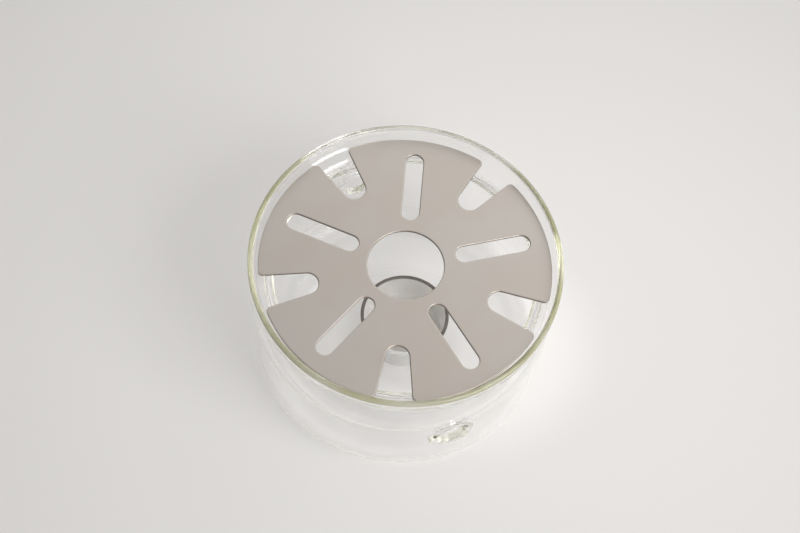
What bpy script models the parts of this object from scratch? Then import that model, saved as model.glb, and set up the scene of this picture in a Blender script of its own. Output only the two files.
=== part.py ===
"""Glass teapot warmer: a waisted glass body with two air vents, a slotted steel plate that drops
into its mouth, and a loose steel cup for a tealight. Run it in Blender 4.5, in metres, +Z up.

The origin is at the middle of the glass's foot. The air vents face -Y and +Y.
"""

import math

import bmesh
import bpy
from mathutils import Matrix, Vector

MM = 0.001

# How finely curves are cut into flats
BODY_SEGMENTS = 64
CUP_SEGMENTS = 40
VENT_SEGMENTS = 20
LIP_SEGMENTS = 8
ARC_STEP = math.radians(22.5)
CUP_ARC_STEP = math.radians(45)
PLATE_ARC_STEP = math.radians(7.5)
NOTCH_ARC_STEP = math.radians(18)

# Space left between pieces that rest on each other
SEAT_GAP = 0.3 * MM

# Trivet plate
PLATE_RADIUS = 70.0 * MM
PLATE_THICKNESS = 1.2 * MM
PLATE_TURN = math.radians(66.4)
HEAT_HOLE_RADIUS = 18.3 * MM
PATTERN_COUNT = 5
SLOT_INNER_RADIUS = 28.9 * MM
SLOT_OUTER_RADIUS = 57.2 * MM
SLOT_HALF_WIDTH = 4.3 * MM
NOTCH_END_RADIUS = 48.0 * MM
NOTCH_HALF_WIDTH = 5.6 * MM
NOTCH_FLARE = math.radians(8.0)
NOTCH_CORNER_RADIUS = 2.5 * MM

# Glass body, sized from the plate that it carries
GLASS_THICKNESS = 2.8 * MM
BODY_HEIGHT = 83.0 * MM
PLATE_BELOW_RIM = 6.6 * MM
PLATE_SIDE_CLEARANCE = 2.0 * MM
LEDGE_REACH = 7.4 * MM
LEDGE_SLOPE = math.radians(16)
GROOVE_RADIUS = 3.5 * MM
GROOVE_FLOOR_SLOPE = math.radians(40)
GROOVE_ROOF_RADIUS = 6.5 * MM
SHOULDER_OVERHANG = 8.6 * MM
SHOULDER_RADIUS = 22.0 * MM
FOOT_RADIUS = 10.3 * MM

# Air vents, each a round hole with a thick fire-polished lip
VENT_HEIGHT = 36.0 * MM
VENT_OPENING_RADIUS = 6.9 * MM
LIP_RADIUS = 2.1 * MM
LIP_INSET = 1.7 * MM

# Tealight cup, turned out of sheet, with a flat flange
TEALIGHT_RADIUS = 19.5 * MM
TEALIGHT_CLEARANCE = 1.1 * MM
CUP_WALL = 0.8 * MM
CUP_HEIGHT = 18.5 * MM
CUP_FOOT_RADIUS = 3.0 * MM
FLANGE_REACH = 1.0 * MM
FLANGE_EDGE_RADIUS = 0.3 * MM
CUP_MOUTH_RADIUS = 0.35 * MM
CUP_OFFSET = Vector((2.6 * MM, -0.7 * MM))

# Places that follow from the sizes above
PLATE_TOP = BODY_HEIGHT - PLATE_BELOW_RIM
PLATE_BOTTOM = PLATE_TOP - PLATE_THICKNESS
LEDGE_TOP = PLATE_BOTTOM - SEAT_GAP
RIM_RADIUS = PLATE_RADIUS + PLATE_SIDE_CLEARANCE + GLASS_THICKNESS
NECK_RADIUS = PLATE_RADIUS - LEDGE_REACH + GLASS_THICKNESS
BELLY_RADIUS = NECK_RADIUS + SHOULDER_OVERHANG
CUP_INNER_RADIUS = TEALIGHT_RADIUS + TEALIGHT_CLEARANCE
CUP_RADIUS = CUP_INNER_RADIUS + CUP_WALL
CUP_BOTTOM = GLASS_THICKNESS + SEAT_GAP


def remove_everything():
    for obj in list(bpy.data.objects):
        bpy.data.objects.remove(obj, do_unlink=True)


def make_material(name, colour, roughness, metallic, transmission=0.0):
    material = bpy.data.materials.new(name)
    material.use_nodes = True
    shader = material.node_tree.nodes["Principled BSDF"]
    shader.inputs["Base Color"].default_value = (*colour, 1.0)
    shader.inputs["Roughness"].default_value = roughness
    shader.inputs["Metallic"].default_value = metallic
    shader.inputs["Transmission Weight"].default_value = transmission
    return material


def make_object(name, bm, material):
    """Turns a bmesh into a smooth shaded object whose sharp edges stay crisp."""
    bmesh.ops.recalc_face_normals(bm, faces=bm.faces)
    mesh = bpy.data.meshes.new(name)
    bm.to_mesh(mesh)
    bm.free()
    mesh.materials.append(material)
    mesh.shade_smooth()
    mesh.set_sharp_from_angle(angle=math.radians(40))
    obj = bpy.data.objects.new(name, mesh)
    bpy.context.scene.collection.objects.link(obj)
    return obj


def arc(centre, radius, start, end, step):
    """Points on a circle from one angle to another, both ends included."""
    count = max(1, math.ceil(abs(end - start) / step - 1e-6))
    angles = [start + (end - start) * i / count for i in range(count + 1)]
    return [centre + radius * Vector((math.cos(a), math.sin(a))) for a in angles]


def left_normal(start, end):
    direction = (end - start).normalized()
    return Vector((-direction.y, direction.x))


def rounded(corners, step):
    """A path of straight runs through corners (point, radius), each corner rounded to its radius.

    A radius too large for its runs is cut down to the one that still fits.
    """
    points = [corners[0][0]]
    for (before, _), (corner, radius), (after, _) in zip(corners, corners[1:], corners[2:]):
        turn = (corner - before).angle_signed(after - corner)
        slope = math.tan(abs(turn) / 2)
        reach = min((corner - before).length, (after - corner).length)
        radius = min(radius, 0.999 * reach / slope)
        if radius < 0.05 * MM:
            points.append(corner)
            continue
        start = corner + (before - corner).normalized() * radius * slope
        side = -1 if turn > 0 else 1
        centre = start + side * radius * left_normal(before, corner)
        begin = math.atan2(start.y - centre.y, start.x - centre.x)
        points += arc(centre, radius, begin, begin - turn, step)
    points.append(corners[-1][0])
    return points


def offset_corners(corners, distance):
    """The same path moved to its left, with the radii that keep the wall even round each bend."""
    moved = []
    points = [point for point, _ in corners]
    runs = list(zip(points, points[1:]))
    normals = [left_normal(start, end) for start, end in runs]
    moved.append((points[0] + normals[0] * distance, corners[0][1]))
    for i in range(1, len(points) - 1):
        first, second = normals[i - 1], normals[i]
        corner = points[i] + (first + second) * distance / (1 + first.dot(second))
        inside = first.cross(second) > 0
        radius = corners[i][1] - distance if inside else corners[i][1] + distance
        moved.append((corner, max(radius, 0.0)))
    moved.append((points[-1] + normals[-1] * distance, corners[-1][1]))
    return moved


def revolve(profile, segments):
    """Spins a profile of (radius, height) points, which starts and ends on the axis, round Z."""
    bm = bmesh.new()
    points = [bm.verts.new((p.x, 0.0, p.y)) for p in profile]
    edges = [bm.edges.new(pair) for pair in zip(points, points[1:])]
    bmesh.ops.spin(
        bm, geom=points + edges, axis=(0, 0, 1), cent=(0, 0, 0), steps=segments, angle=2 * math.pi
    )
    bmesh.ops.remove_doubles(bm, verts=bm.verts, dist=0.001 * MM)
    return bm


def crossing(point, direction, other_point, other_direction):
    """Where two lines meet, each given by a point on it and its direction."""
    along = (other_point - point).cross(other_direction) / direction.cross(other_direction)
    return point + direction * along


def body_corners():
    """Corners of the glass's outer skin, from the middle of its foot up to the rim.

    The ledge slopes up from its nose and turns into the rim's wall in a bend, on whose inner side the
    plate's edge rests. The groove behind the nose has the ledge for its roof, and a steeper floor that
    runs out to the shoulder.
    """
    up = Vector((0.0, 1.0))
    roof = Vector((math.cos(LEDGE_SLOPE), math.sin(LEDGE_SLOPE)))
    above_roof = Vector((-roof.y, roof.x))
    floor = Vector((math.cos(GROOVE_FLOOR_SLOPE), -math.sin(GROOVE_FLOOR_SLOPE)))
    below_floor = Vector((floor.y, -floor.x))
    bend_radius = GROOVE_ROOF_RADIUS - GLASS_THICKNESS
    seat_reach = PLATE_RADIUS - (RIM_RADIUS - GROOVE_ROOF_RADIUS)
    bend_drop = math.sqrt(bend_radius**2 - seat_reach**2)
    bend_middle = Vector((RIM_RADIUS - GROOVE_ROOF_RADIUS, LEDGE_TOP + bend_drop))
    roof_point = bend_middle - above_roof * GROOVE_ROOF_RADIUS
    groove_axis = Vector((NECK_RADIUS + GROOVE_RADIUS, 0.0))
    groove_middle = crossing(roof_point - above_roof * GROOVE_RADIUS, roof, groove_axis, up)
    floor_point = groove_middle + below_floor * GROOVE_RADIUS
    return [
        (Vector((0.0, 0.0)), 0.0),
        (Vector((BELLY_RADIUS, 0.0)), FOOT_RADIUS),
        (crossing(floor_point, floor, Vector((BELLY_RADIUS, 0.0)), up), SHOULDER_RADIUS),
        (crossing(roof_point, roof, floor_point, floor), GROOVE_RADIUS),
        (crossing(roof_point, roof, Vector((RIM_RADIUS, 0.0)), up), GROOVE_ROOF_RADIUS),
        (Vector((RIM_RADIUS, BODY_HEIGHT - GLASS_THICKNESS / 2)), 0.0),
    ]


def vent_frame(side):
    """Places a vent made round Z on the belly, facing -Y for side -1 and +Y for side 1."""
    middle = Vector((0.0, side * (BELLY_RADIUS - LIP_INSET), VENT_HEIGHT))
    return Matrix.Translation(middle) @ Matrix.Rotation(math.radians(90), 4, "X")


def vent_bore(side, material):
    bm = bmesh.new()
    bmesh.ops.create_cone(
        bm,
        cap_ends=True,
        segments=VENT_SEGMENTS,
        radius1=VENT_OPENING_RADIUS + LIP_RADIUS,
        radius2=VENT_OPENING_RADIUS + LIP_RADIUS,
        depth=6 * GLASS_THICKNESS,
        matrix=vent_frame(side),
    )
    return make_object("vent_bore", bm, material)


def vent_lip(side, material):
    """A ring of round section, which closes the raw edge of the bored wall."""
    section = arc(
        Vector((VENT_OPENING_RADIUS + LIP_RADIUS, 0.0)),
        LIP_RADIUS,
        0.0,
        2 * math.pi,
        2 * math.pi / LIP_SEGMENTS,
    )
    bm = revolve(section, VENT_SEGMENTS)
    bm.transform(vent_frame(side))
    return make_object("vent_lip", bm, material)


def add_boolean(target, operand, operation):
    modifier = target.modifiers.new(f"{operand.name} {operation.lower()}", "BOOLEAN")
    modifier.operation = operation
    modifier.solver = "EXACT"
    modifier.object = operand
    operand.hide_render = True
    operand.display_type = "WIRE"
    operand.parent = target


def make_glass_body(material):
    outer = body_corners()
    inner = offset_corners(outer, GLASS_THICKNESS)
    inner[0] = (Vector((0.0, inner[0][0].y)), 0.0)
    rim_middle = (outer[-1][0] + inner[-1][0]) / 2
    rim = arc(rim_middle, GLASS_THICKNESS / 2, 0.0, math.pi, ARC_STEP)
    profile = rounded(outer, ARC_STEP) + rim[1:-1] + rounded(inner, ARC_STEP)[::-1]
    body = make_object("glass_body", revolve(profile, BODY_SEGMENTS), material)
    for side in (-1, 1):
        add_boolean(body, vent_bore(side, material), "DIFFERENCE")
    for side in (-1, 1):
        add_boolean(body, vent_lip(side, material), "UNION")
    return body


def notch_outline():
    """One edge notch of the plate, pointing along +X, from its -Y corner in and out to its +Y."""
    along = Vector((math.cos(NOTCH_FLARE), math.sin(NOTCH_FLARE)))
    across = Vector((-along.y, along.x))
    end_centre = Vector((NOTCH_END_RADIUS, 0.0))
    line = end_centre.dot(across) + NOTCH_HALF_WIDTH + NOTCH_CORNER_RADIUS
    reach = PLATE_RADIUS - NOTCH_CORNER_RADIUS
    corner = line * across + math.sqrt(reach**2 - line**2) * along
    outward = math.atan2(corner.y, corner.x)
    inward = math.atan2(-across.y, -across.x)
    end_turn = math.pi / 2 + NOTCH_FLARE
    upper = arc(end_centre, NOTCH_HALF_WIDTH, math.pi, end_turn, NOTCH_ARC_STEP)
    upper += arc(corner, NOTCH_CORNER_RADIUS, inward, outward, NOTCH_ARC_STEP)
    lower = [Vector((p.x, -p.y)) for p in upper[:0:-1]]
    return lower + upper


def slot_outline():
    """One slot of the plate along +X, with round ends."""
    quarter = math.pi / 2
    outer = arc(Vector((SLOT_OUTER_RADIUS, 0.0)), SLOT_HALF_WIDTH, -quarter, quarter, NOTCH_ARC_STEP)
    inner = arc(Vector((SLOT_INNER_RADIUS, 0.0)), SLOT_HALF_WIDTH, quarter, 3 * quarter, NOTCH_ARC_STEP)
    return outer + inner


def turned(points, angle):
    rotation = Matrix.Rotation(angle, 2)
    return [rotation @ p for p in points]


def plate_outlines():
    """The plate's edge, then its round hole and its slots, with the notches between the slots."""
    pitch = 2 * math.pi / PATTERN_COUNT
    notch = notch_outline()
    corner_angle = math.atan2(notch[-1].y, notch[-1].x)
    edge = []
    slots = []
    for i in range(PATTERN_COUNT):
        slots.append(turned(slot_outline(), i * pitch))
        middle = (i + 0.5) * pitch
        edge += turned(notch, middle)
        edge += arc(
            Vector((0.0, 0.0)),
            PLATE_RADIUS,
            middle + corner_angle,
            middle + pitch - corner_angle,
            PLATE_ARC_STEP,
        )[1:-1]
    hole = arc(Vector((0.0, 0.0)), HEAT_HOLE_RADIUS, 0.0, 2 * math.pi, PLATE_ARC_STEP)[:-1]
    return [edge, hole] + slots


def make_trivet_plate(material):
    """A flat sheet: its outlines are filled and the face is drawn up to the plate's thickness."""
    bm = bmesh.new()
    for outline in plate_outlines():
        verts = [bm.verts.new((*p, PLATE_BOTTOM)) for p in turned(outline, PLATE_TURN)]
        for start, end in zip(verts, verts[1:] + verts[:1]):
            bm.edges.new((start, end))
    bmesh.ops.triangle_fill(bm, use_beauty=True, edges=bm.edges)
    raised = bmesh.ops.extrude_face_region(bm, geom=bm.faces)["geom"]
    top = [item for item in raised if isinstance(item, bmesh.types.BMVert)]
    bmesh.ops.translate(bm, verts=top, vec=(0.0, 0.0, PLATE_THICKNESS))
    return make_object("trivet_plate", bm, material)


def make_tealight_cup(material):
    """The cup's skin runs from under its foot, round the flange and down to its floor."""
    flange = CUP_RADIUS + FLANGE_REACH
    corners = [
        (Vector((0.0, 0.0)), 0.0),
        (Vector((CUP_RADIUS, 0.0)), CUP_FOOT_RADIUS),
        (Vector((CUP_RADIUS, CUP_HEIGHT - CUP_WALL)), FLANGE_EDGE_RADIUS),
        (Vector((flange, CUP_HEIGHT - CUP_WALL)), FLANGE_EDGE_RADIUS),
        (Vector((flange, CUP_HEIGHT)), FLANGE_EDGE_RADIUS),
        (Vector((CUP_INNER_RADIUS, CUP_HEIGHT)), CUP_MOUTH_RADIUS),
        (Vector((CUP_INNER_RADIUS, CUP_WALL)), CUP_FOOT_RADIUS - CUP_WALL),
        (Vector((0.0, CUP_WALL)), 0.0),
    ]
    cup = make_object("tealight_cup", revolve(rounded(corners, CUP_ARC_STEP), CUP_SEGMENTS), material)
    cup.location = (*CUP_OFFSET, CUP_BOTTOM)
    return cup


def main():
    remove_everything()
    glass = make_material("clear glass", (0.93, 0.95, 0.90), 0.02, 0.0, transmission=1.0)
    plate_steel = make_material("satin steel plate", (0.50, 0.46, 0.43), 0.38, 1.0)
    cup_steel = make_material("satin steel cup", (0.56, 0.54, 0.52), 0.30, 1.0)
    body = make_glass_body(glass)
    for piece in (make_trivet_plate(plate_steel), make_tealight_cup(cup_steel)):
        piece.parent = body


main()
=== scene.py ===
import math

import bmesh
import bpy
from mathutils import Matrix, Vector


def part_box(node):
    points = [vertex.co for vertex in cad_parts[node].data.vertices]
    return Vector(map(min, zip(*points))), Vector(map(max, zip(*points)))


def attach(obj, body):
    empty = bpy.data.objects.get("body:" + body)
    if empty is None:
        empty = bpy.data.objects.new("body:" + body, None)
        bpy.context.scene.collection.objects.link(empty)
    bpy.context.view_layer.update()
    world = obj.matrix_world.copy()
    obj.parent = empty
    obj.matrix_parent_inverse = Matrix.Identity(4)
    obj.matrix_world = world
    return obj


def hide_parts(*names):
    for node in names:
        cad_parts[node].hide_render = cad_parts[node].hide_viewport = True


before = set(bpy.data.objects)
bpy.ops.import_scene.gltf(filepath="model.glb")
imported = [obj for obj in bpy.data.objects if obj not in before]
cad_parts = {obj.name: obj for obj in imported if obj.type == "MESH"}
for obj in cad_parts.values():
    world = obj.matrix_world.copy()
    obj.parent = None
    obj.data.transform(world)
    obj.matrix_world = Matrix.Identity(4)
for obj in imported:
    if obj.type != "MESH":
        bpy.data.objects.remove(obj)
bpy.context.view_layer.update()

# A glass teapot warmer with its plate and its cup, on a pale floor. Lengths are in metres.
MM = 0.001

# Camera: how the photograph looks at the middle of the plate's top, with the lens in millimetres
CAMERA_AZIMUTH = math.radians(-25.0)
CAMERA_ELEVATION = math.radians(62.33)
CAMERA_ROLL = math.radians(-6.77)
CAMERA_DISTANCE = 738.1 * MM
CAMERA_LENS = 69.95
CAMERA_NEAR = 10 * MM
AIM_LEFT = 2.7 * MM
AIM_BELOW = 0.8 * MM

# How finely curves are cut. The slack keeps rounding from adding a step, and an edge past the sharp angle
# isn't smoothed.
BODY_SEGMENTS = 288
CUP_SEGMENTS = 180
ARC_STEP = math.radians(7.5)
COARSE_ARC_STEP = 2 * ARC_STEP
PLATE_ARC_STEP = math.radians(1.5)
SMALL_ARC_STEP = math.radians(6)
EDGE_ARC_STEP = math.radians(22.5)
STEP_SLACK = 1e-6
SHARP_ANGLE = math.radians(40)

# A bend takes up at most this share of the shorter run beside it. Below the least radius it stays a corner.
BEND_REACH = 0.999
LEAST_RADIUS = 0.05 * MM

# The glass's wall and its bends
GLASS_THICKNESS = 2.8 * MM
SEAT_GAP = 0.3 * MM
LEDGE_REACH = 7.4 * MM
LEDGE_SLOPE = math.radians(16)
GROOVE_RADIUS = 3.5 * MM
GROOVE_FLOOR_SLOPE = math.radians(40)
GROOVE_ROOF_RADIUS = 6.5 * MM
SHOULDER_OVERHANG = 8.6 * MM
SHOULDER_RADIUS = 22.0 * MM
FOOT_RADIUS = 10.3 * MM

# Air vents, and the windows of the wall's grid that they take up. The curved wall goes flat over a share of
# the lip's fillet.
VENT_HEIGHT = 36.0 * MM
VENT_OPENING_RADIUS = 6.9 * MM
LIP_RADIUS = 2.1 * MM
LIP_INSET = 1.7 * MM
LIP_FILLET = 1.5 * MM
FLATTENING_SHARE = 0.6
WINDOW_COLUMNS = 8
WINDOW_ROWS = 16
WINDOW_HALF_HEIGHT = 12.4 * MM
WINDOW_RINGS = 4
# The grid's column at the middle of each vent, by the side of the object: 1 is +Y, -1 is -Y
VENT_COLUMNS = {1: BODY_SEGMENTS // 4, -1: 3 * BODY_SEGMENTS // 4}

# The plate's pattern
PLATE_TURN = math.radians(66.4)
PLATE_RADIUS = 70.0 * MM
HEAT_HOLE_RADIUS = 18.3 * MM
PATTERN_COUNT = 5
SLOT_INNER_RADIUS = 28.9 * MM
SLOT_OUTER_RADIUS = 57.2 * MM
SLOT_HALF_WIDTH = 4.3 * MM
NOTCH_END_RADIUS = 48.0 * MM
NOTCH_HALF_WIDTH = 5.6 * MM
NOTCH_FLARE = math.radians(8.0)
NOTCH_CORNER_RADIUS = 2.5 * MM
PLATE_EDGE_RADIUS = 0.4 * MM
PLATE_EDGE_MARGIN = 0.15 * MM

# The cup
CUP_WALL = 0.8 * MM
CUP_BORE_RADIUS = 20.6 * MM
CUP_FOOT_RADIUS = 3.0 * MM
FLANGE_REACH = 1.0 * MM
FLANGE_EDGE_RADIUS = 0.3 * MM
CUP_MOUTH_RADIUS = 0.35 * MM

# Finish of the glass. Its rim is painted olive for the light that runs inside the wall, fainter on one side
GLASS_CLEAR = (1.0, 1.0, 1.0)
GLASS_IOR = 1.473
GLASS_ABSORPTION = (0.72, 0.74, 0.16)
GLASS_DENSITY = 0.65
GLASS_WAVE_SIZE = 22 * MM
GLASS_WAVE_DEPTH = 0.012 * MM
RIM_GLOW_COLOUR = (0.46, 0.455, 0.27)
RIM_CLEARNESS = 0.5
RIM_GLOW_REACH = 2.6 * MM
RIM_GLOW_FULL = 1.3 * MM
RIM_GLOW_WIDTH = 2.9 * MM
RIM_GLOW_FADE = 0.7 * MM
RIM_STREAK_SIZE = 30 * MM
RIM_STREAK_FADE = (0.35, 0.6)
RIM_STREAK_LEAST = 0.8
RIM_CLEAR_AZIMUTH = math.radians(69)
RIM_CLEAR_FADE = (49 * MM, 58 * MM)
RIM_CLEAR_SHARE = 0.12

# Finish of the plate, with painted shade on its cut edges and painted light on its underside; a face's slope
# is the upward part of its normal
PLATE_COLOUR = (0.615, 0.57, 0.53)
PLATE_WARM_COLOUR = (0.6, 0.545, 0.495)
PLATE_EDGE_SHADE_COLOUR = (0.33, 0.285, 0.25)
PLATE_UNDER_LIGHT_COLOUR = (0.9, 0.88, 0.85)
PLATE_GRAZING_TINT = (0.5, 0.48, 0.46)
PLATE_FACE_SLOPE = 0.95
PLATE_EDGE_SLOPE = 0.6
PLATE_ROUGHNESS = 0.38
PLATE_ROUGHNESS_SPREAD = 0.04
PATCH_SIZE = 30 * MM
PATCH_FADE = (0.3, 0.7)
GRAIN_SIZE = 0.5 * MM
GRAIN_FADE = (0.3, 0.7)
GRAIN_DEPTH = 0.004 * MM

# Finish of the cup. Its flange is painted dark for the dark reflection it shows, but not on one side
CUP_COLOUR = (0.96, 0.95, 0.935)
CUP_DULL_COLOUR = (0.91, 0.90, 0.885)
CUP_PATCH_SIZE = 10 * MM
CUP_METALLIC = 0.75
CUP_ROUGHNESS = 0.8
FLANGE_ROUGHNESS = 0.2
FLANGE_SHADE_COLOUR = (0.26, 0.24, 0.22)
FLANGE_FADE = 0.2 * MM
UNSHADED_FLANGE_AZIMUTH = math.radians(-115)
UNSHADED_FLANGE_FADE = (10 * MM, 21 * MM)
TURNED_PITCH = 0.45 * MM
TURNED_DEPTH = 0.006 * MM
TURNED_WOBBLE = 0.4
# How far apart a wave texture's rings lie at a scale of 1
WAVE_PERIOD = math.pi / 10

# Floor, with the light and shade that are painted on it
FLOOR_HALF_SIZE = 3.0
FLOOR_GAP = 0.3 * MM
FLOOR_COLOUR = (0.9, 0.878, 0.856)
FLOOR_ROUGHNESS = 0.9
FLOOR_GLOW_SHARE = 0.58
FLOOR_BRIGHT_PLACE = (75 * MM, 30 * MM, 0.0)
FLOOR_FALL = (0.0, 500 * MM)
FLOOR_FAR_SHARE = 0.76
GATHERED_PLACE = (38 * MM, -16 * MM, 0.0)
GATHERED_FADE = (34 * MM, 74 * MM)
GATHERED_LIGHT = 1.2
EDGE_GLOW_RADIUS = 63 * MM
EDGE_GLOW_FADE = 14 * MM
EDGE_GLOW_AZIMUTH = math.radians(-120)
EDGE_GLOW = 1.26
CONTACT_RADIUS = 59.5 * MM
CONTACT_FADE = 5 * MM
CONTACT_SHADE = 0.93
CUP_SHADE_FADE = (24 * MM, 37 * MM)
CUP_SHADE = 0.87

# Room and lamp
ROOM_COLOUR = (1.0, 0.99, 0.975)
ROOM_LIGHT = 0.62
ROOM_SEEN = 1.48
ROOM_LOW_SHARE = 0.5
ROOM_HIGH = 0.6
ROOM_BRIGHT_AZIMUTH = math.radians(30)
ROOM_DARK_SHARE = 0.12
ROOM_FADE = (-0.15, 0.9)
BACKDROP_LIGHT = 0.88
LIGHT_DISTANCE = 1.6
KEY_AZIMUTH = math.radians(-60)
KEY_ELEVATION = math.radians(42)
KEY_SIZE = 1.04
KEY_POWER = 21.9
KEY_COLOUR = (1.0, 0.995, 0.985)
GLASS_BOUNCES = 96

# Places taken from the frame
glass_low, glass_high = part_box("glass_body")
plate_low, plate_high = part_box("trivet_plate")
cup_low, cup_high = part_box("tealight_cup")
BODY_HEIGHT = glass_high.z
RIM_RADIUS = glass_high.x
PLATE_BOTTOM = plate_low.z
PLATE_TOP = plate_high.z
LEDGE_TOP = PLATE_BOTTOM - SEAT_GAP
NECK_RADIUS = PLATE_RADIUS - LEDGE_REACH + GLASS_THICKNESS
BELLY_RADIUS = NECK_RADIUS + SHOULDER_OVERHANG
CUP_MIDDLE = ((cup_low.x + cup_high.x) / 2, (cup_low.y + cup_high.y) / 2, 0.0)


# Paths

def arc(centre, radius, start, end, step):
    """Points on an arc from its start angle to its end, no further apart than a step."""
    count = max(1, math.ceil(abs(end - start) / step - STEP_SLACK))
    angles = [start + (end - start) * i / count for i in range(count + 1)]
    return [centre + radius * Vector((math.cos(a), math.sin(a))) for a in angles]


def left_normal(start, end):
    """The direction to the left of a straight run."""
    direction = (end - start).normalized()
    return Vector((-direction.y, direction.x))


def rounded(corners, step):
    """A path of straight runs through corners (point, radius), each corner rounded to its radius."""
    points = [corners[0][0]]
    for (before, _), (corner, radius), (after, _) in zip(corners, corners[1:], corners[2:]):
        turn = (corner - before).angle_signed(after - corner)
        slope = math.tan(abs(turn) / 2)
        reach = min((corner - before).length, (after - corner).length)
        radius = min(radius, BEND_REACH * reach / slope)
        if radius < LEAST_RADIUS:
            points.append(corner)
            continue
        start = corner + (before - corner).normalized() * radius * slope
        side = -1 if turn > 0 else 1
        centre = start + side * radius * left_normal(before, corner)
        begin = math.atan2(start.y - centre.y, start.x - centre.x)
        points += arc(centre, radius, begin, begin - turn, step)
    points.append(corners[-1][0])
    return points


def offset_corners(corners, distance):
    """The same path moved to its left, with the radii that keep the wall even round each bend."""
    points = [point for point, _ in corners]
    normals = [left_normal(start, end) for start, end in zip(points, points[1:])]
    moved = [(points[0] + normals[0] * distance, corners[0][1])]
    for i in range(1, len(points) - 1):
        first, second = normals[i - 1], normals[i]
        corner = points[i] + (first + second) * distance / (1 + first.dot(second))
        inside = first.cross(second) > 0
        radius = corners[i][1] - distance if inside else corners[i][1] + distance
        moved.append((corner, max(radius, 0.0)))
    moved.append((points[-1] + normals[-1] * distance, corners[-1][1]))
    return moved


def turned(points, angle):
    """The points turned round the origin."""
    rotation = Matrix.Rotation(angle, 2)
    return [rotation @ p for p in points]


def smoothstep(value):
    """A soft rise from 0 to 1, flat at both ends."""
    value = min(1.0, max(0.0, value))
    return value * value * (3 - 2 * value)


# Objects

def make_object(name, bm, material, sharp_angle=SHARP_ANGLE):
    """Turns a mesh that is being built into an object, smooth but for edges past the sharp angle."""
    bmesh.ops.recalc_face_normals(bm, faces=bm.faces)
    mesh = bpy.data.meshes.new(name)
    bm.to_mesh(mesh)
    bm.free()
    mesh.materials.append(material)
    mesh.shade_smooth()
    mesh.set_sharp_from_angle(angle=sharp_angle)
    obj = bpy.data.objects.new(name, mesh)
    bpy.context.scene.collection.objects.link(obj)
    return obj


def ring_faces(bm, first, second):
    """Quads between two closed rings of as many vertices."""
    for i, vert in enumerate(first):
        following = (i + 1) % len(first)
        bm.faces.new((vert, first[following], second[following], second[i]))


def revolve(profile, segments):
    """Spins a profile of (radius, height) points, which starts and ends on the axis, round Z."""
    bm = bmesh.new()
    angles = [2 * math.pi * i / segments for i in range(segments)]
    rings = []
    for point in profile[1:-1]:
        rings.append([bm.verts.new((point.x * math.cos(a), point.x * math.sin(a), point.y)) for a in angles])
    for first, second in zip(rings, rings[1:]):
        ring_faces(bm, first, second)
    for ring, point in ((rings[0], profile[0]), (rings[-1], profile[-1])):
        middle = bm.verts.new((0.0, 0.0, point.y))
        for i, vert in enumerate(ring):
            bm.faces.new((middle, vert, ring[(i + 1) % segments]))
    return bm


# Glass body

def crossing(point, direction, other_point, other_direction):
    """Where two lines meet, each given by a point on it and its direction."""
    distance = (other_point - point).cross(other_direction) / direction.cross(other_direction)
    return point + direction * distance


def body_corners():
    """Corners of the glass's outer skin, from the middle of its foot up to the rim.

    The ledge slopes up from its nose and turns into the rim's wall in a bend, on whose inner side the
    plate's edge rests. The groove behind the nose has the ledge for its roof, and a steeper floor that
    runs out to the shoulder.
    """
    up = Vector((0.0, 1.0))
    roof = Vector((math.cos(LEDGE_SLOPE), math.sin(LEDGE_SLOPE)))
    above_roof = Vector((-roof.y, roof.x))
    floor = Vector((math.cos(GROOVE_FLOOR_SLOPE), -math.sin(GROOVE_FLOOR_SLOPE)))
    below_floor = Vector((floor.y, -floor.x))
    bend_radius = GROOVE_ROOF_RADIUS - GLASS_THICKNESS
    seat_reach = PLATE_RADIUS - (RIM_RADIUS - GROOVE_ROOF_RADIUS)
    bend_drop = math.sqrt(bend_radius**2 - seat_reach**2)
    bend_middle = Vector((RIM_RADIUS - GROOVE_ROOF_RADIUS, LEDGE_TOP + bend_drop))
    roof_point = bend_middle - above_roof * GROOVE_ROOF_RADIUS
    groove_axis = Vector((NECK_RADIUS + GROOVE_RADIUS, 0.0))
    groove_middle = crossing(roof_point - above_roof * GROOVE_RADIUS, roof, groove_axis, up)
    floor_point = groove_middle + below_floor * GROOVE_RADIUS
    return [
        (Vector((0.0, 0.0)), 0.0),
        (Vector((BELLY_RADIUS, 0.0)), FOOT_RADIUS),
        (crossing(floor_point, floor, Vector((BELLY_RADIUS, 0.0)), up), SHOULDER_RADIUS),
        (crossing(roof_point, roof, floor_point, floor), GROOVE_RADIUS),
        (crossing(roof_point, roof, Vector((RIM_RADIUS, 0.0)), up), GROOVE_ROOF_RADIUS),
        (Vector((RIM_RADIUS, BODY_HEIGHT - GLASS_THICKNESS / 2)), 0.0),
    ]


def window_heights():
    """Heights of the grid's rows across a vent's window."""
    step = 2 * WINDOW_HALF_HEIGHT / WINDOW_ROWS
    return [VENT_HEIGHT - WINDOW_HALF_HEIGHT + step * i for i in range(WINDOW_ROWS + 1)]


def with_rows(path, heights):
    """The path with points at these heights on the belly's straight run, and the first one's place."""
    for i, (start, end) in enumerate(zip(path, path[1:])):
        low, high = min(start.y, end.y), max(start.y, end.y)
        if low < heights[0] and high > heights[-1]:
            rows = heights if end.y > start.y else heights[::-1]
            points = [start.lerp(end, (z - start.y) / (end.y - start.y)) for z in rows]
            return path[: i + 1] + points + path[i + 1:], i + 1
    raise ValueError("no straight run spans the vents")


def window_border():
    """The grid's places round a vent's window: (row from its lowest, column from its middle), in order."""
    places = [(0, c) for c in range(-WINDOW_COLUMNS, WINDOW_COLUMNS)]
    places += [(r, WINDOW_COLUMNS) for r in range(WINDOW_ROWS)]
    places += [(WINDOW_ROWS, c) for c in range(WINDOW_COLUMNS, -WINDOW_COLUMNS, -1)]
    places += [(r, -WINDOW_COLUMNS) for r in range(WINDOW_ROWS, 0, -1)]
    return places


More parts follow.
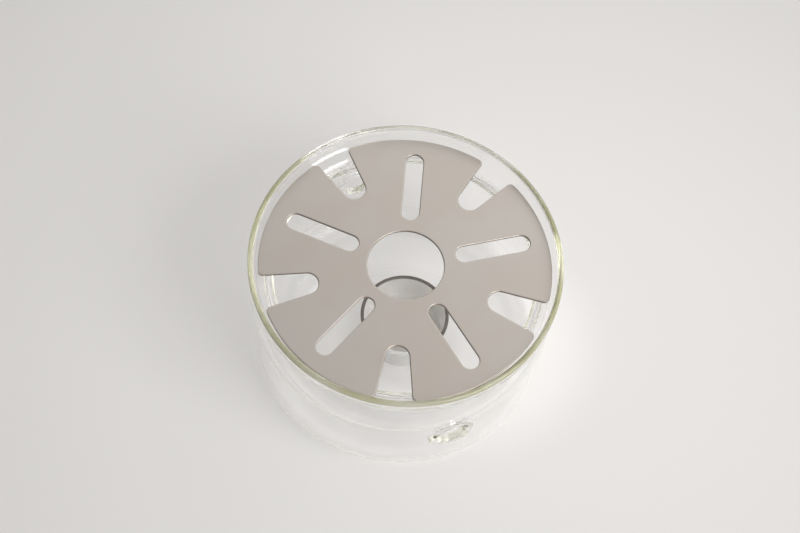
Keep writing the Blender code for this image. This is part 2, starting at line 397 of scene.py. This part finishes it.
def lip_section():
    """Half of the vent's lip for each skin: (distance from the vent's axis, offset from mid-wall).

    The round lip runs through a fillet into the wall on either side. Each half starts at the opening.
    """
    centre = Vector((VENT_OPENING_RADIUS + LIP_RADIUS, GLASS_THICKNESS / 2 - LIP_INSET))
    halves = []
    for side in (1, -1):
        wall = side * GLASS_THICKNESS / 2
        rise = wall + side * LIP_FILLET - centre.y
        run = math.sqrt((LIP_RADIUS + LIP_FILLET) ** 2 - rise**2)
        fillet = centre + Vector((run, rise))
        towards = math.atan2(rise, run)
        around = arc(centre, LIP_RADIUS, side * math.pi, towards, COARSE_ARC_STEP)
        back = arc(fillet, LIP_FILLET, towards - side * math.pi, side * -math.pi / 2, COARSE_ARC_STEP)
        halves.append(around + back[1:])
    return halves


def wall_point(side, across, height, offset):
    """A point on the belly: across is measured round it from the vent, offset from mid-wall."""
    angle = side * math.pi / 2 + across / BELLY_RADIUS
    radius = BELLY_RADIUS - GLASS_THICKNESS / 2 + offset
    return Vector((radius * math.cos(angle), radius * math.sin(angle), height))


def flat_point(side, across, height, offset):
    """The same on the flat plane that touches mid-wall at the vent."""
    depth = BELLY_RADIUS - GLASS_THICKNESS / 2 + offset
    return Vector((-side * across, side * depth, height))


def vent_rings(bm, side, outline, section, skin):
    """Rings of vertices from the window's outline in to the opening, for one skin of the wall."""
    wall_offset = skin * GLASS_THICKNESS / 2
    edge = section[-1].x
    tangent = edge - FLATTENING_SHARE * LIP_FILLET
    directions = [math.atan2(v, u) for u, v in outline]
    rings = []
    for k in range(1, WINDOW_RINGS):
        share = k / WINDOW_RINGS
        ring = []
        for (u, v), a in zip(outline, directions):
            across = u + (edge * math.cos(a) - u) * share
            up = v + (edge * math.sin(a) - v) * share
            ring.append(bm.verts.new(wall_point(side, across, VENT_HEIGHT + up, wall_offset)))
        rings.append(ring)
    for point in section[::-1]:
        flat = smoothstep((edge - point.x) / (edge - tangent))
        ring = []
        for a in directions:
            across = point.x * math.cos(a)
            height = VENT_HEIGHT + point.x * math.sin(a)
            curved = wall_point(side, across, height, point.y)
            plane = flat_point(side, across, height, point.y)
            ring.append(bm.verts.new(curved.lerp(plane, flat)))
        rings.append(ring)
    return rings


def spin_wall(bm, profile, window_rows):
    """Spins the wall's profile round Z, leaves the vents' windows open and returns the grid of vertices."""
    columns = [2 * math.pi * i / BODY_SEGMENTS for i in range(BODY_SEGMENTS)]
    grid = {}
    for j, point in enumerate(profile[1:-1], start=1):
        for i, a in enumerate(columns):
            grid[j, i] = bm.verts.new((point.x * math.cos(a), point.x * math.sin(a), point.y))

    def in_window(j, i):
        rows = any(row <= j < row + WINDOW_ROWS for row in window_rows)
        return rows and any(c - WINDOW_COLUMNS <= i < c + WINDOW_COLUMNS for c in VENT_COLUMNS.values())

    for j in range(1, len(profile) - 2):
        for i in range(BODY_SEGMENTS):
            if not in_window(j, i):
                k = (i + 1) % BODY_SEGMENTS
                bm.faces.new((grid[j, i], grid[j, k], grid[j + 1, k], grid[j + 1, i]))
    for j, end in ((1, profile[0]), (len(profile) - 2, profile[-1])):
        middle = bm.verts.new((0.0, 0.0, end.y))
        for i in range(BODY_SEGMENTS):
            bm.faces.new((middle, grid[j, i], grid[j, (i + 1) % BODY_SEGMENTS]))
    return grid


def add_vent(bm, grid, side, heights, outer_row, inner_row):
    """Fills a vent's window in each skin with rings, which end on one shared ring at the opening."""
    places = window_border()
    pitch = BELLY_RADIUS * 2 * math.pi / BODY_SEGMENTS
    outline = [(c * pitch, heights[r] - VENT_HEIGHT) for r, c in places]
    outer_half, inner_half = lip_section()
    skins = []
    for skin, row, section in ((1, outer_row, outer_half), (-1, inner_row + WINDOW_ROWS, inner_half)):
        border = [grid[row + skin * r, VENT_COLUMNS[side] + c] for r, c in places]
        skins.append([border] + vent_rings(bm, side, outline, section, skin))
    outer_rings, inner_rings = skins
    for vert in inner_rings.pop():
        bm.verts.remove(vert)
    inner_rings.append(outer_rings[-1])
    for rings in skins:
        for first, second in zip(rings, rings[1:]):
            ring_faces(bm, first, second)


def make_glass(material):
    """An even wall round the profile, with a round rim and two vents."""
    outer = body_corners()
    inner = offset_corners(outer, GLASS_THICKNESS)
    inner[0] = (Vector((0.0, inner[0][0].y)), 0.0)
    rim_middle = (outer[-1][0] + inner[-1][0]) / 2
    rim = arc(rim_middle, GLASS_THICKNESS / 2, 0.0, math.pi, ARC_STEP)
    heights = window_heights()
    outer_path, outer_row = with_rows(rounded(outer, ARC_STEP), heights)
    inner_path, inner_row = with_rows(rounded(inner, ARC_STEP)[::-1], heights)
    profile = outer_path + rim[1:-1] + inner_path
    inner_row += len(outer_path) + len(rim) - 2

    bm = bmesh.new()
    grid = spin_wall(bm, profile, (outer_row, inner_row))
    for side in VENT_COLUMNS:
        add_vent(bm, grid, side, heights, outer_row, inner_row)
    return make_object("clear_glass_body", bm, material, sharp_angle=math.pi)


# Trivet plate

def notch_outline():
    """One edge notch of the plate, pointing along +X, from its -Y corner in and out to its +Y."""
    flank = Vector((math.cos(NOTCH_FLARE), math.sin(NOTCH_FLARE)))
    across = Vector((-flank.y, flank.x))
    end_centre = Vector((NOTCH_END_RADIUS, 0.0))
    line = end_centre.dot(across) + NOTCH_HALF_WIDTH + NOTCH_CORNER_RADIUS
    reach = PLATE_RADIUS - NOTCH_CORNER_RADIUS
    corner = line * across + math.sqrt(reach**2 - line**2) * flank
    outward = math.atan2(corner.y, corner.x)
    inward = math.atan2(-across.y, -across.x)
    end_turn = math.pi / 2 + NOTCH_FLARE
    upper = arc(end_centre, NOTCH_HALF_WIDTH, math.pi, end_turn, SMALL_ARC_STEP)
    upper += arc(corner, NOTCH_CORNER_RADIUS, inward, outward, SMALL_ARC_STEP)
    lower = [Vector((p.x, -p.y)) for p in upper[:0:-1]]
    return lower + upper


def slot_outline():
    """One slot of the plate along +X, with round ends."""
    quarter = math.pi / 2
    outer = arc(Vector((SLOT_OUTER_RADIUS, 0.0)), SLOT_HALF_WIDTH, -quarter, quarter, SMALL_ARC_STEP)
    inner = arc(Vector((SLOT_INNER_RADIUS, 0.0)), SLOT_HALF_WIDTH, quarter, 3 * quarter, SMALL_ARC_STEP)
    return outer + inner


def plate_outlines():
    """The plate's edge, then its round hole and its slots, with the notches between the slots."""
    pitch = 2 * math.pi / PATTERN_COUNT
    centre = Vector((0.0, 0.0))
    notch = notch_outline()
    corner_angle = math.atan2(notch[-1].y, notch[-1].x)
    edge = []
    slots = []
    for i in range(PATTERN_COUNT):
        slots.append(turned(slot_outline(), i * pitch))
        middle = (i + 0.5) * pitch
        edge += turned(notch, middle)
        last = middle + pitch - corner_angle
        edge += arc(centre, PLATE_RADIUS, middle + corner_angle, last, PLATE_ARC_STEP)[1:-1]
    hole = arc(centre, HEAT_HOLE_RADIUS, 0.0, 2 * math.pi, PLATE_ARC_STEP)[:-1]
    return [edge, hole] + slots


def drawn_in(outline, distance):
    """The outline moved to its left by a distance."""
    moved = []
    for before, point, after in zip(outline[-1:] + outline[:-1], outline, outline[1:] + outline[:1]):
        normal = (left_normal(before, point) + left_normal(point, after)).normalized()
        moved.append(point + normal * distance)
    return moved


def make_plate(material):
    """A sheet with a softly rounded edge round its outline, hole, slots and notches."""
    bm = bmesh.new()
    middle = (PLATE_TOP + PLATE_BOTTOM) / 2
    half = (PLATE_TOP - PLATE_BOTTOM) / 2
    corner = Vector((PLATE_EDGE_RADIUS, half - PLATE_EDGE_RADIUS))
    bend = arc(corner, PLATE_EDGE_RADIUS, math.pi, math.pi / 2, EDGE_ARC_STEP)
    bend.append(Vector((PLATE_EDGE_RADIUS + PLATE_EDGE_MARGIN, half)))
    section = [Vector((p.x, -p.y)) for p in bend[::-1]] + bend
    caps = {0: [], len(section) - 1: []}
    for number, outline in enumerate(plate_outlines()):
        inward = 1 if number == 0 else -1
        rings = []
        for point in section:
            ring = turned(drawn_in(outline, inward * point.x), PLATE_TURN)
            rings.append([bm.verts.new((*p, middle + point.y)) for p in ring])
        for first, second in zip(rings, rings[1:]):
            ring_faces(bm, first, second)
        for place, edges in caps.items():
            ring = rings[place]
            edges += [bm.edges.get((v, ring[(i + 1) % len(ring)])) for i, v in enumerate(ring)]
    for edges in caps.values():
        bmesh.ops.triangle_fill(bm, use_beauty=True, edges=edges)
    return make_object("satin_plate", bm, material)


# Tealight cup

def make_cup(material):
    """A straight cup with a thin flat flange round its mouth."""
    outer = CUP_BORE_RADIUS + CUP_WALL
    flange = outer + FLANGE_REACH
    bottom = cup_low.z
    top = cup_high.z
    corners = [
        (Vector((0.0, bottom)), 0.0),
        (Vector((outer, bottom)), CUP_FOOT_RADIUS),
        (Vector((outer, top - CUP_WALL)), FLANGE_EDGE_RADIUS),
        (Vector((flange, top - CUP_WALL)), FLANGE_EDGE_RADIUS),
        (Vector((flange, top)), FLANGE_EDGE_RADIUS),
        (Vector((CUP_BORE_RADIUS, top)), CUP_MOUTH_RADIUS),
        (Vector((CUP_BORE_RADIUS, bottom + CUP_WALL)), CUP_FOOT_RADIUS - CUP_WALL),
        (Vector((0.0, bottom + CUP_WALL)), 0.0),
    ]
    cup = make_object("satin_cup", revolve(rounded(corners, COARSE_ARC_STEP), CUP_SEGMENTS), material)
    cup.location = CUP_MIDDLE
    return cup


# Shader nodes

# The sockets A, B and Result of a Mix node go by number, because each kind of data has its own
MIX_SOCKETS = {"FLOAT": (2, 3, 0), "RGBA": (6, 7, 2)}


def plug(tree, value, socket):
    """Feeds a socket from the output of a node, or with a plain number or colour."""
    if isinstance(value, bpy.types.NodeSocket):
        tree.links.new(value, socket)
    elif isinstance(value, tuple):
        socket.default_value = (*value, 1.0)
    else:
        socket.default_value = value


def new_material(name, colour, roughness, metallic=0.0):
    """A material with its node tree and its shader."""
    material = bpy.data.materials.new(name)
    material.use_nodes = True
    tree = material.node_tree
    shader = tree.nodes["Principled BSDF"]
    plug(tree, colour, shader.inputs["Base Color"])
    plug(tree, roughness, shader.inputs["Roughness"])
    plug(tree, metallic, shader.inputs["Metallic"])
    return material, tree, shader


def object_place(tree):
    """A point of the piece, in its own coordinates."""
    return tree.nodes.new("ShaderNodeTexCoord").outputs["Object"]


def ramp(tree, value, start, end, low=0.0, high=1.0):
    """Runs smoothly from low, where the value is at its start, to high at its end."""
    node = tree.nodes.new("ShaderNodeMapRange")
    node.interpolation_type = "SMOOTHSTEP"
    settings = {"Value": value, "From Min": start, "From Max": end, "To Min": low, "To Max": high}
    for name, setting in settings.items():
        plug(tree, setting, node.inputs[name])
    return node.outputs["Result"]


def product(tree, first, second):
    """Two values multiplied; each is a number or the output of a node."""
    node = tree.nodes.new("ShaderNodeMath")
    node.operation = "MULTIPLY"
    plug(tree, first, node.inputs[0])
    plug(tree, second, node.inputs[1])
    return node.outputs[0]


def blend(tree, share, first, second, kind="RGBA"):
    """From the first colour or value to the second; each is plain or the output of a node."""
    node = tree.nodes.new("ShaderNodeMix")
    node.data_type = kind
    first_socket, second_socket, result = MIX_SOCKETS[kind]
    plug(tree, share, node.inputs["Factor"])
    plug(tree, first, node.inputs[first_socket])
    plug(tree, second, node.inputs[second_socket])
    return node.outputs[result]


def vector_value(tree, operation, place, other):
    """The value that a vector operation gives of a place and a fixed vector."""
    node = tree.nodes.new("ShaderNodeVectorMath")
    node.operation = operation
    node.inputs[1].default_value = other
    tree.links.new(place, node.inputs[0])
    return node.outputs["Value"]


def level_reach(tree, place, azimuth):
    """How far a point or direction reaches along a level direction, whose azimuth is measured from +X."""
    return vector_value(tree, "DOT_PRODUCT", place, (math.cos(azimuth), math.sin(azimuth), 0.0))


def distance_from(tree, place, middle):
    """How far a point is from a fixed one."""
    return vector_value(tree, "DISTANCE", place, middle)


def upward(tree, place):
    """The upward part of a point or direction."""
    parts = tree.nodes.new("ShaderNodeSeparateXYZ")
    tree.links.new(place, parts.inputs["Vector"])
    return parts.outputs["Z"]


def axis_distance(tree, place):
    """How far a point of the piece is from the piece's own upright axis."""
    flat = tree.nodes.new("ShaderNodeVectorMath")
    flat.operation = "MULTIPLY"
    flat.inputs[1].default_value = (1.0, 1.0, 0.0)
    tree.links.new(place, flat.inputs[0])
    length = tree.nodes.new("ShaderNodeVectorMath")
    length.operation = "LENGTH"
    tree.links.new(flat.outputs["Vector"], length.inputs[0])
    return length.outputs["Value"]


def noise(tree, place, size, detail=2.0):
    """Soft random patches of about a size, from 0 to 1."""
    node = tree.nodes.new("ShaderNodeTexNoise")
    node.inputs["Scale"].default_value = 1.0 / size
    node.inputs["Detail"].default_value = detail
    tree.links.new(place, node.inputs["Vector"])
    return node.outputs["Fac"]


def relief(tree, shader, height, depth):
    """Bumps of a real depth."""
    node = tree.nodes.new("ShaderNodeBump")
    node.inputs["Distance"].default_value = depth
    tree.links.new(height, node.inputs["Height"])
    tree.links.new(node.outputs["Normal"], shader.inputs["Normal"])


# Materials

def glass_material():
    """Clear and faintly wavy. The rim is painted olive, as light from inside the wall makes it look."""
    material, tree, shader = new_material("clear_glass", GLASS_CLEAR, 0.0)
    shader.inputs["IOR"].default_value = GLASS_IOR
    place = object_place(tree)
    radius = axis_distance(tree, place)
    # Painted light: an olive, streaked band round the top of the rim, fainter on one side, for light that
    # runs inside the wall
    glow_edge = RIM_RADIUS - RIM_GLOW_WIDTH
    top = ramp(tree, upward(tree, place), BODY_HEIGHT - RIM_GLOW_REACH, BODY_HEIGHT - RIM_GLOW_FULL)
    outside = ramp(tree, radius, glow_edge, glow_edge + RIM_GLOW_FADE)
    streaks = ramp(tree, noise(tree, place, RIM_STREAK_SIZE), *RIM_STREAK_FADE, RIM_STREAK_LEAST, 1.0)
    clear_side = level_reach(tree, place, RIM_CLEAR_AZIMUTH)
    clearer = ramp(tree, clear_side, *RIM_CLEAR_FADE, 1.0, RIM_CLEAR_SHARE)
    rim = product(tree, product(tree, top, outside), product(tree, streaks, clearer))
    plug(tree, blend(tree, rim, GLASS_CLEAR, RIM_GLOW_COLOUR), shader.inputs["Base Color"])
    plug(tree, ramp(tree, rim, 0.0, 1.0, 1.0, RIM_CLEARNESS), shader.inputs["Transmission Weight"])
    relief(tree, shader, noise(tree, place, GLASS_WAVE_SIZE, detail=1.0), GLASS_WAVE_DEPTH)
    absorption = tree.nodes.new("ShaderNodeVolumeAbsorption")
    plug(tree, GLASS_ABSORPTION, absorption.inputs["Color"])
    plug(tree, GLASS_DENSITY, absorption.inputs["Density"])
    tree.links.new(absorption.outputs["Volume"], tree.nodes["Material Output"].inputs["Volume"])
    return material


def plate_material():
    """Satin steel: warm patches, a fine grain, cut edges painted dark for the dark reflection they show, and
    an underside painted paler for the light it reflects below.
    """
    material, tree, shader = new_material("plate_steel", PLATE_COLOUR, PLATE_ROUGHNESS, metallic=1.0)
    plug(tree, PLATE_GRAZING_TINT, shader.inputs["Specular Tint"])
    place = object_place(tree)
    slope = upward(tree, tree.nodes.new("ShaderNodeTexCoord").outputs["Normal"])
    patches = ramp(tree, noise(tree, place, PATCH_SIZE, detail=3.0), *PATCH_FADE)
    colour = blend(tree, patches, PLATE_WARM_COLOUR, PLATE_COLOUR)
    facing_up = ramp(tree, slope, PLATE_EDGE_SLOPE, PLATE_FACE_SLOPE)
    facing_down = ramp(tree, slope, -PLATE_EDGE_SLOPE, -PLATE_FACE_SLOPE)
    # Painted shade: cut edges dark for a dark reflection. Painted light: the underside paler than the top
    colour = blend(tree, facing_up, PLATE_EDGE_SHADE_COLOUR, colour)
    colour = blend(tree, facing_down, colour, PLATE_UNDER_LIGHT_COLOUR)
    plug(tree, colour, shader.inputs["Base Color"])
    grain = noise(tree, place, GRAIN_SIZE, detail=4.0)
    smoothest = PLATE_ROUGHNESS - PLATE_ROUGHNESS_SPREAD
    roughest = PLATE_ROUGHNESS + PLATE_ROUGHNESS_SPREAD
    plug(tree, ramp(tree, grain, *GRAIN_FADE, smoothest, roughest), shader.inputs["Roughness"])
    relief(tree, shader, grain, GRAIN_DEPTH)
    return material


def cup_material():
    """Turned steel, matt and pale, with a polished flange painted dark, for the dark reflection it shows, on
    all but one side.
    """
    material, tree, shader = new_material("cup_steel", CUP_COLOUR, CUP_ROUGHNESS, metallic=CUP_METALLIC)
    place = object_place(tree)
    radius = axis_distance(tree, place)
    top = ramp(tree, upward(tree, place), cup_high.z - CUP_WALL, cup_high.z - CUP_WALL / 2)
    outside = ramp(tree, radius, CUP_BORE_RADIUS - FLANGE_FADE, CUP_BORE_RADIUS + FLANGE_FADE)
    flange = product(tree, top, outside)
    # Painted shade: the flange's top is dark for the dark reflection it shows, fading out on one side
    flange_shade = ramp(tree, level_reach(tree, place, UNSHADED_FLANGE_AZIMUTH), *UNSHADED_FLANGE_FADE, 1.0, 0.0)
    patches = noise(tree, place, CUP_PATCH_SIZE, detail=3.0)
    matt = blend(tree, patches, CUP_COLOUR, CUP_DULL_COLOUR)
    plug(tree, blend(tree, product(tree, flange, flange_shade), matt, FLANGE_SHADE_COLOUR), shader.inputs["Base Color"])
    plug(tree, ramp(tree, flange, 0.0, 1.0, CUP_ROUGHNESS, FLANGE_ROUGHNESS), shader.inputs["Roughness"])
    rings = tree.nodes.new("ShaderNodeTexWave")
    rings.wave_type = "RINGS"
    rings.rings_direction = "Z"
    rings.inputs["Scale"].default_value = WAVE_PERIOD / TURNED_PITCH
    rings.inputs["Distortion"].default_value = TURNED_WOBBLE
    tree.links.new(place, rings.inputs["Vector"])
    relief(tree, shader, rings.outputs["Fac"], TURNED_DEPTH)
    return material


# Stage

def seen_ray(tree, kinds=("Is Camera Ray", "Is Glossy Ray", "Is Transmission Ray")):
    """1 for rays of these kinds: seen straight on, in a reflection or through the glass."""
    path = tree.nodes.new("ShaderNodeLightPath")
    result = path.outputs[kinds[0]]
    for kind in kinds[1:]:
        either = tree.nodes.new("ShaderNodeMath")
        either.operation = "MAXIMUM"
        tree.links.new(result, either.inputs[0])
        tree.links.new(path.outputs[kind], either.inputs[1])
        result = either.outputs[0]
    return result


def foot_ring(tree, place, radius, fade):
    """1 on a circle round the object's foot, fading to 0 inside and outside it."""
    from_middle = distance_from(tree, place, (0.0, 0.0, 0.0))
    inside = ramp(tree, from_middle, radius - fade, radius)
    outside = ramp(tree, from_middle, radius + fade, radius)
    return product(tree, inside, outside)


def scaled_colour(tree, colour, strength):
    """A plain colour times the output of a node."""
    node = tree.nodes.new("ShaderNodeVectorMath")
    node.operation = "SCALE"
    node.inputs[0].default_value = colour
    tree.links.new(strength, node.inputs["Scale"])
    return node.outputs["Vector"]


def floor_material():
    """Pale, dimmer away from its bright place, and part of it glows for the eye so that shadows stay light.

    Painted on it are a shade round the cup and a faint one under the foot's edge. Its glow is brighter
    where the glass gathers the lamp's light, and along one side of the foot's edge.
    """
    material, tree, shader = new_material("pale_floor", FLOOR_COLOUR, FLOOR_ROUGHNESS)
    place = object_place(tree)
    fall = ramp(tree, distance_from(tree, place, FLOOR_BRIGHT_PLACE), *FLOOR_FALL, 1.0, FLOOR_FAR_SHARE)
    contact = foot_ring(tree, place, CONTACT_RADIUS, CONTACT_FADE)
    under_foot = ramp(tree, contact, 0.0, 1.0, 1.0, CONTACT_SHADE)
    round_cup = ramp(tree, distance_from(tree, place, CUP_MIDDLE), *CUP_SHADE_FADE, CUP_SHADE, 1.0)
    level = product(tree, product(tree, fall, under_foot), round_cup)
    gathered = ramp(tree, distance_from(tree, place, GATHERED_PLACE), *GATHERED_FADE, GATHERED_LIGHT, 1.0)
    lit_side = ramp(tree, level_reach(tree, place, EDGE_GLOW_AZIMUTH), 0.0, EDGE_GLOW_RADIUS)
    lit_edge = product(tree, foot_ring(tree, place, EDGE_GLOW_RADIUS, EDGE_GLOW_FADE), lit_side)
    gain = product(tree, gathered, ramp(tree, lit_edge, 0.0, 1.0, 1.0, EDGE_GLOW))
    glow = tree.nodes.new("ShaderNodeEmission")
    plug(tree, scaled_colour(tree, FLOOR_COLOUR, level), shader.inputs["Base Color"])
    plug(tree, scaled_colour(tree, FLOOR_COLOUR, product(tree, level, gain)), glow.inputs["Color"])
    mix = tree.nodes.new("ShaderNodeMixShader")
    plug(tree, product(tree, seen_ray(tree), FLOOR_GLOW_SHARE), mix.inputs["Fac"])
    tree.links.new(shader.outputs["BSDF"], mix.inputs[1])
    tree.links.new(glow.outputs["Emission"], mix.inputs[2])
    tree.links.new(mix.outputs["Shader"], tree.nodes["Material Output"].inputs["Surface"])
    return material


def make_floor():
    """A wide floor just under the glass's foot."""
    bm = bmesh.new()
    bmesh.ops.create_grid(bm, x_segments=1, y_segments=1, size=FLOOR_HALF_SIZE)
    floor = make_object("floor", bm, floor_material())
    floor.location = (0.0, 0.0, glass_low.z - FLOOR_GAP)


def make_world():
    """An even backdrop for what is seen straight on or through the glass, and a room for all else.

    The room is darker on one side. Metal and glass reflect it brighter than it lights the object, and
    dimmer towards the floor.
    """
    world = bpy.data.worlds.new("studio")
    world.use_nodes = True
    tree = world.node_tree
    background = tree.nodes["Background"]
    plug(tree, ROOM_COLOUR, background.inputs["Color"])
    direction = tree.nodes.new("ShaderNodeTexCoord").outputs["Generated"]
    side = ramp(tree, level_reach(tree, direction, ROOM_BRIGHT_AZIMUTH), *ROOM_FADE, ROOM_DARK_SHARE, 1.0)
    reflected = ramp(tree, upward(tree, direction), 0.0, ROOM_HIGH, ROOM_LOW_SHARE * ROOM_SEEN, ROOM_SEEN)
    level = blend(tree, seen_ray(tree, ("Is Glossy Ray",)), ROOM_LIGHT, reflected, "FLOAT")
    backdrop = seen_ray(tree, ("Is Camera Ray", "Is Transmission Ray"))
    strength = blend(tree, backdrop, product(tree, level, side), BACKDROP_LIGHT, "FLOAT")
    plug(tree, strength, background.inputs["Strength"])
    bpy.context.scene.world = world


def add_light(name, azimuth, elevation, size, power, colour):
    """A square soft box that looks at the object's middle; azimuth is measured from +X."""
    data = bpy.data.lights.new(name, "AREA")
    data.size = size
    data.energy = power
    data.color = colour
    light = bpy.data.objects.new(name, data)
    level = math.cos(elevation)
    towards = Vector((level * math.cos(azimuth), level * math.sin(azimuth), math.sin(elevation)))
    light.location = Vector((0.0, 0.0, BODY_HEIGHT / 2)) + towards * LIGHT_DISTANCE
    light.rotation_mode = "QUATERNION"
    light.rotation_quaternion = (-towards).to_track_quat("-Z", "Y")
    bpy.context.scene.collection.objects.link(light)


def let_light_through():
    """Enough bounces for light that runs inside the thick bends of the glass."""
    cycles = bpy.context.scene.cycles
    cycles.max_bounces = GLASS_BOUNCES
    cycles.transmission_bounces = GLASS_BOUNCES
    cycles.glossy_bounces = GLASS_BOUNCES


def make_camera():
    """Looks at the middle of the plate's top, which lies a little right of and above the image's middle."""
    a, e, r = CAMERA_AZIMUTH, CAMERA_ELEVATION, CAMERA_ROLL
    forward = -Vector((math.sin(a) * math.cos(e), -math.cos(a) * math.cos(e), math.sin(e)))
    level = forward.cross(Vector((0.0, 0.0, 1.0))).normalized()
    down = forward.cross(level)
    right = math.cos(r) * level + math.sin(r) * down
    up = math.sin(r) * level - math.cos(r) * down
    data = bpy.data.cameras.new("camera")
    data.lens = CAMERA_LENS
    data.clip_start = CAMERA_NEAR
    camera = bpy.data.objects.new("camera", data)
    middle = Vector((0.0, 0.0, PLATE_TOP))
    place = middle - forward * CAMERA_DISTANCE - right * AIM_LEFT - up * AIM_BELOW
    axes = Matrix((right, up, -forward)).transposed().to_4x4()
    camera.matrix_world = Matrix.Translation(place) @ axes
    bpy.context.scene.collection.objects.link(camera)
    bpy.context.scene.camera = camera


# Assembly

glass = make_glass(glass_material())
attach(glass, "glass")
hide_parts("glass_body")

plate = make_plate(plate_material())
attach(plate, "plate")
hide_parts("trivet_plate")

cup = make_cup(cup_material())
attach(cup, "cup")
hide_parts("tealight_cup")

make_floor()
make_world()
add_light("key", KEY_AZIMUTH, KEY_ELEVATION, KEY_SIZE, KEY_POWER, KEY_COLOUR)
let_light_through()
make_camera()
bpy.context.scene.view_settings.view_transform = "Standard"
